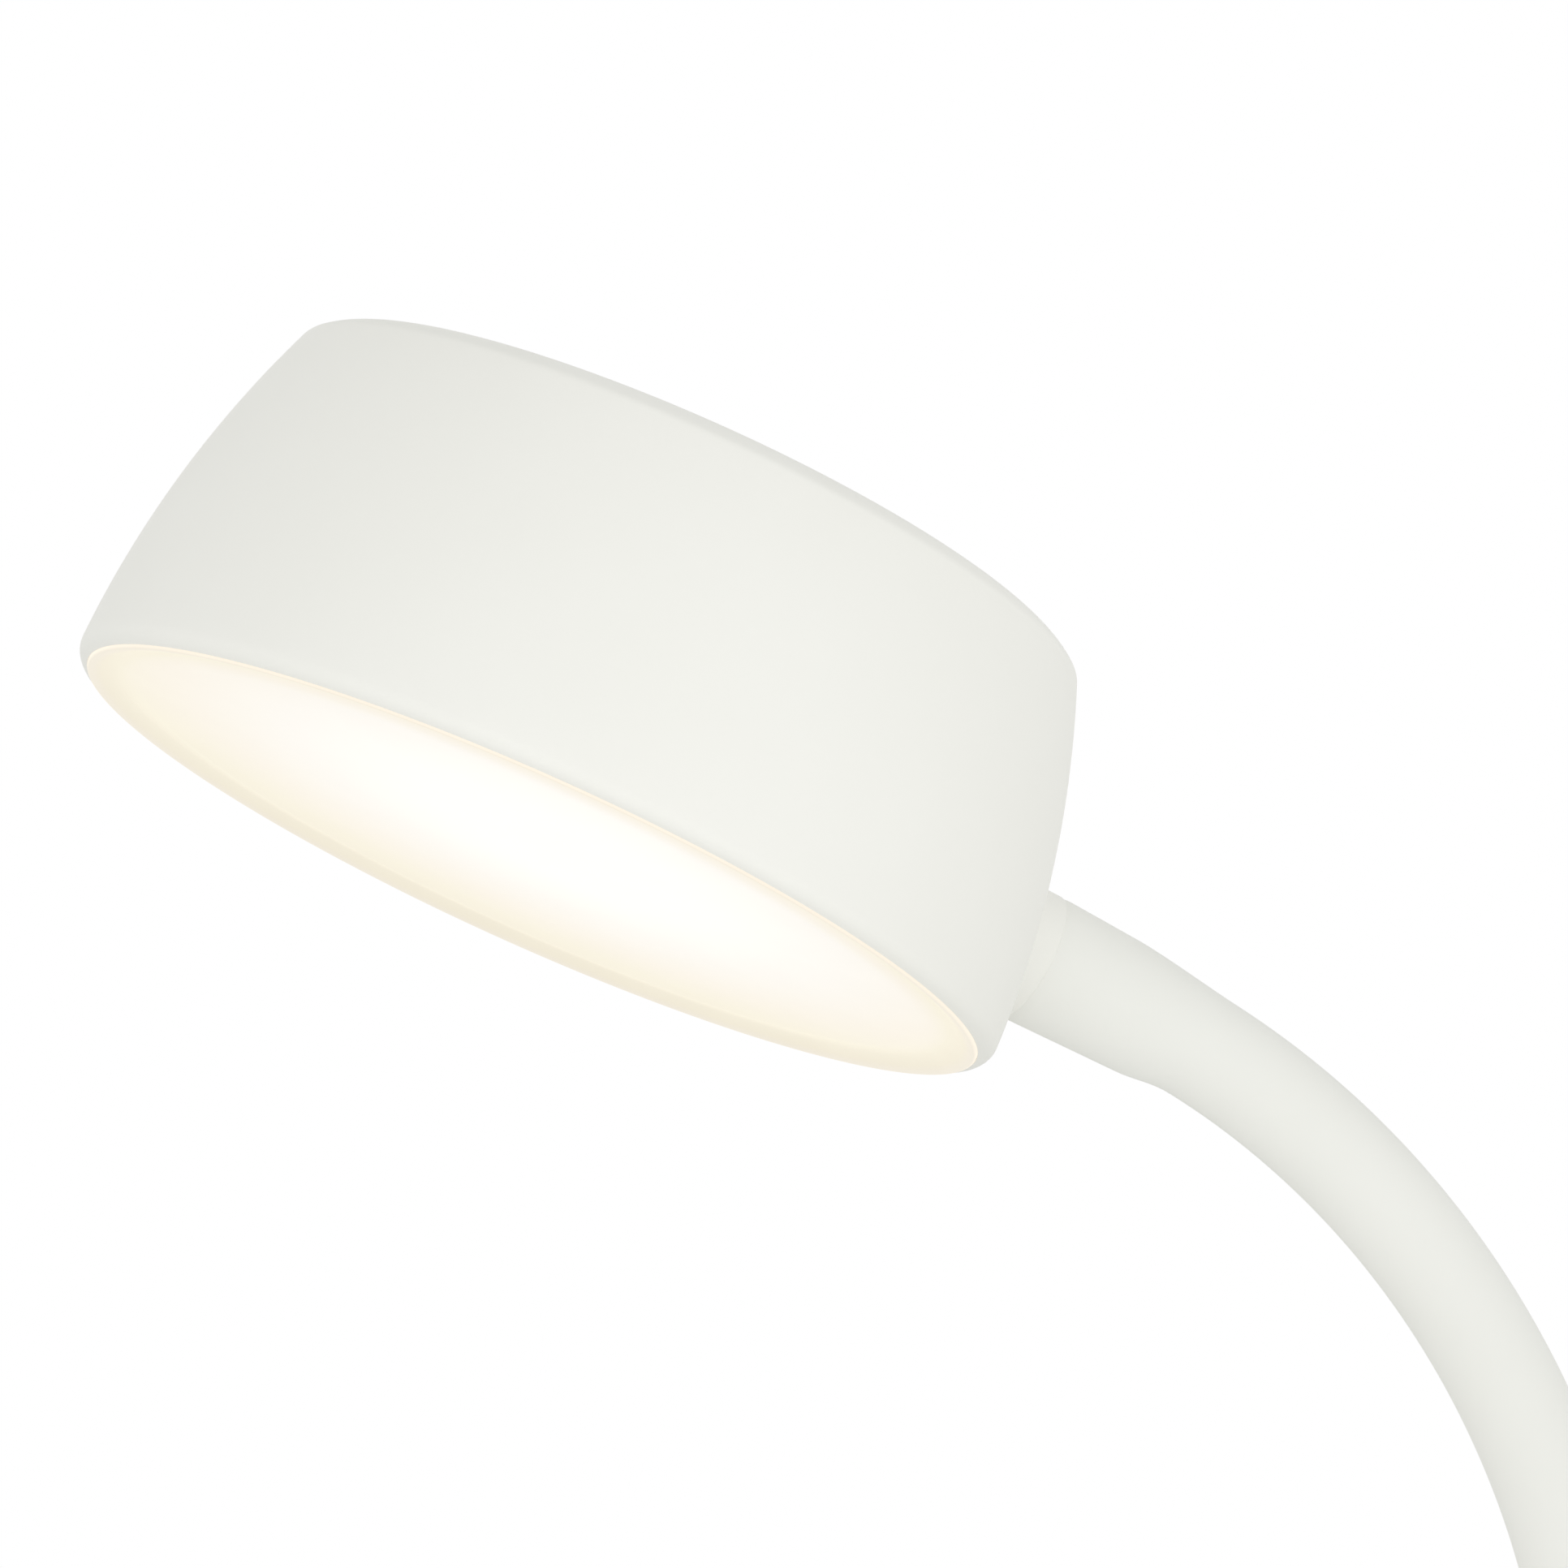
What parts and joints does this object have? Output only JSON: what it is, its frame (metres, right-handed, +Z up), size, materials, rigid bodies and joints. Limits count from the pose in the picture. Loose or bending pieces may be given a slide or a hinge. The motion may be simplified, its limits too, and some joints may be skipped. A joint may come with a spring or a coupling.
{
  "type": "gooseneck table lamp",
  "caption": "Table lamp with a round drum head and opal lens on a flexible sleeved neck, with a push button on its weighted round base and a low-voltage inlet.",
  "frame": {"origin": "centre of the anti-slip pad's underside, on the table", "axes": "+Z up, the head reaches towards -X, the neck rises on the +X side of the base"},
  "size_m": [0.2194, 0.13, 0.328],
  "materials": {
    "shell_plastic": "fine matte moulded plastic, warm off-white",
    "opal_diffuser": "opal satin plastic, lit from behind by warm white chips",
    "reflector_white": "smooth bright white",
    "aluminium": "turned and rolled, bare",
    "light_board_white": "white solder mask",
    "light_chip": "yellow phosphor under clear resin",
    "plug_plastic": "cream moulded plastic",
    "plated_steel": "bright zinc plating",
    "neck_silicone": "smooth matte silicone, warm off-white",
    "lead_jacket": "grey jacket",
    "pad_rubber": "fine-grained anti-slip rubber",
    "weight_iron": "as cast, painted dark",
    "control_board_green": "green solder mask",
    "black_plastic": "black moulded plastic",
    "coil_copper": "lacquered copper winding",
    "contact_brass": "bright brass"
  },
  "bodies": {
    "base": {"neck_core_1": "plated_steel", "neck_sleeve_1": "neck_silicone", "neck_lead_1": "lead_jacket", "lower_ferrule": "aluminium", "lower_washer": "plated_steel", "lower_nut": "plated_steel", "base_cover": "shell_plastic", "base_plate": "plated_steel", "anti_slip_pad": "pad_rubber", "base_weight": "weight_iron", "weight_screws": "plated_steel", "base_screws": "plated_steel", "control_board": "control_board_green", "control_screws_set": "plated_steel", "control_plugs": "plug_plastic", "choke_coil": "coil_copper", "capacitors": "black_plastic", "driver_chip": "black_plastic", "switch_body": "black_plastic", "power_socket": "black_plastic", "socket_contacts": "contact_brass", "socket_nut": "plated_steel", "inlet_lead": "lead_jacket"},
    "button": {"button_cap": "shell_plastic", "switch_plunger": "plug_plastic"},
    "neck_2": {"neck_core_2": "plated_steel", "neck_sleeve_2": "neck_silicone", "neck_lead_2": "lead_jacket"},
    "neck_3": {"neck_core_3": "plated_steel", "neck_sleeve_3": "neck_silicone", "neck_lead_3": "lead_jacket"},
    "neck_4": {"neck_core_4": "plated_steel", "neck_sleeve_4": "neck_silicone", "neck_lead_4": "lead_jacket"},
    "neck_5": {"neck_core_5": "plated_steel", "neck_sleeve_5": "neck_silicone", "neck_lead_5": "lead_jacket"},
    "neck_6": {"neck_core_6": "plated_steel", "neck_sleeve_6": "neck_silicone", "neck_lead_6": "lead_jacket"},
    "neck_7": {"neck_core_7": "plated_steel", "neck_sleeve_7": "neck_silicone", "neck_lead_7": "lead_jacket"},
    "head": {"head_shell": "shell_plastic", "diffuser": "opal_diffuser", "reflector": "reflector_white", "cooling_plate": "aluminium", "light_board": "light_board_white", "light_chips": "light_chip", "light_plug": "plug_plastic", "plate_screws": "plated_steel", "light_board_screws": "plated_steel", "upper_ferrule": "aluminium", "upper_washer": "plated_steel", "upper_nut": "plated_steel", "neck_core_8": "plated_steel", "neck_sleeve_8": "neck_silicone", "neck_lead_8": "lead_jacket"}
  },
  "joints": [
    {"name": "neck_lean", "type": "hinge", "parent": "base", "child": "neck_2", "pos_m": [0.038, 0, 0.059], "axis": [0, -1, 0], "range_deg": [-14, 14]},
    {"name": "neck_sway", "type": "hinge", "parent": "neck_2", "child": "neck_3", "pos_m": [0.038, 0, 0.08933], "axis": [1, 0, 0], "range_deg": [-14, 14]},
    {"name": "neck_lean_upper", "type": "hinge", "parent": "neck_3", "child": "neck_4", "pos_m": [0.038, 0, 0.11967], "axis": [0, -1, 0], "range_deg": [-14, 14]},
    {"name": "neck_sway_middle", "type": "hinge", "parent": "neck_4", "child": "neck_5", "pos_m": [0.038, 0, 0.15], "axis": [1, 0, 0], "range_deg": [-14, 14]},
    {"name": "head_nod", "type": "hinge", "parent": "neck_5", "child": "neck_6", "pos_m": [0.03202, 0, 0.1851], "axis": [0, -1, 0], "range_deg": [-14, 14]},
    {"name": "neck_sway_upper", "type": "hinge", "parent": "neck_6", "child": "neck_7", "pos_m": [0.01475, 0, 0.21624], "axis": [0.7807, 0, 0.6249], "range_deg": [-14, 14]},
    {"name": "head_nod_upper", "type": "hinge", "parent": "neck_7", "child": "head", "pos_m": [-0.01185, 0, 0.23991], "axis": [0, -1, 0], "range_deg": [-14, 14]},
    {"name": "button_press", "type": "slide", "parent": "base", "child": "button", "axis": [0, 0, -1], "range_m": [0, 0.0008], "stiffness_N_per_m": 900, "springref_m": -0.001}
  ],
  "couplings": [
    {"joint": "neck_lean_upper", "follows": "neck_lean", "ratio": 1},
    {"joint": "neck_sway_middle", "follows": "neck_sway", "ratio": 1},
    {"joint": "neck_sway_upper", "follows": "neck_sway", "ratio": 1},
    {"joint": "head_nod_upper", "follows": "head_nod", "ratio": 1}
  ]
}
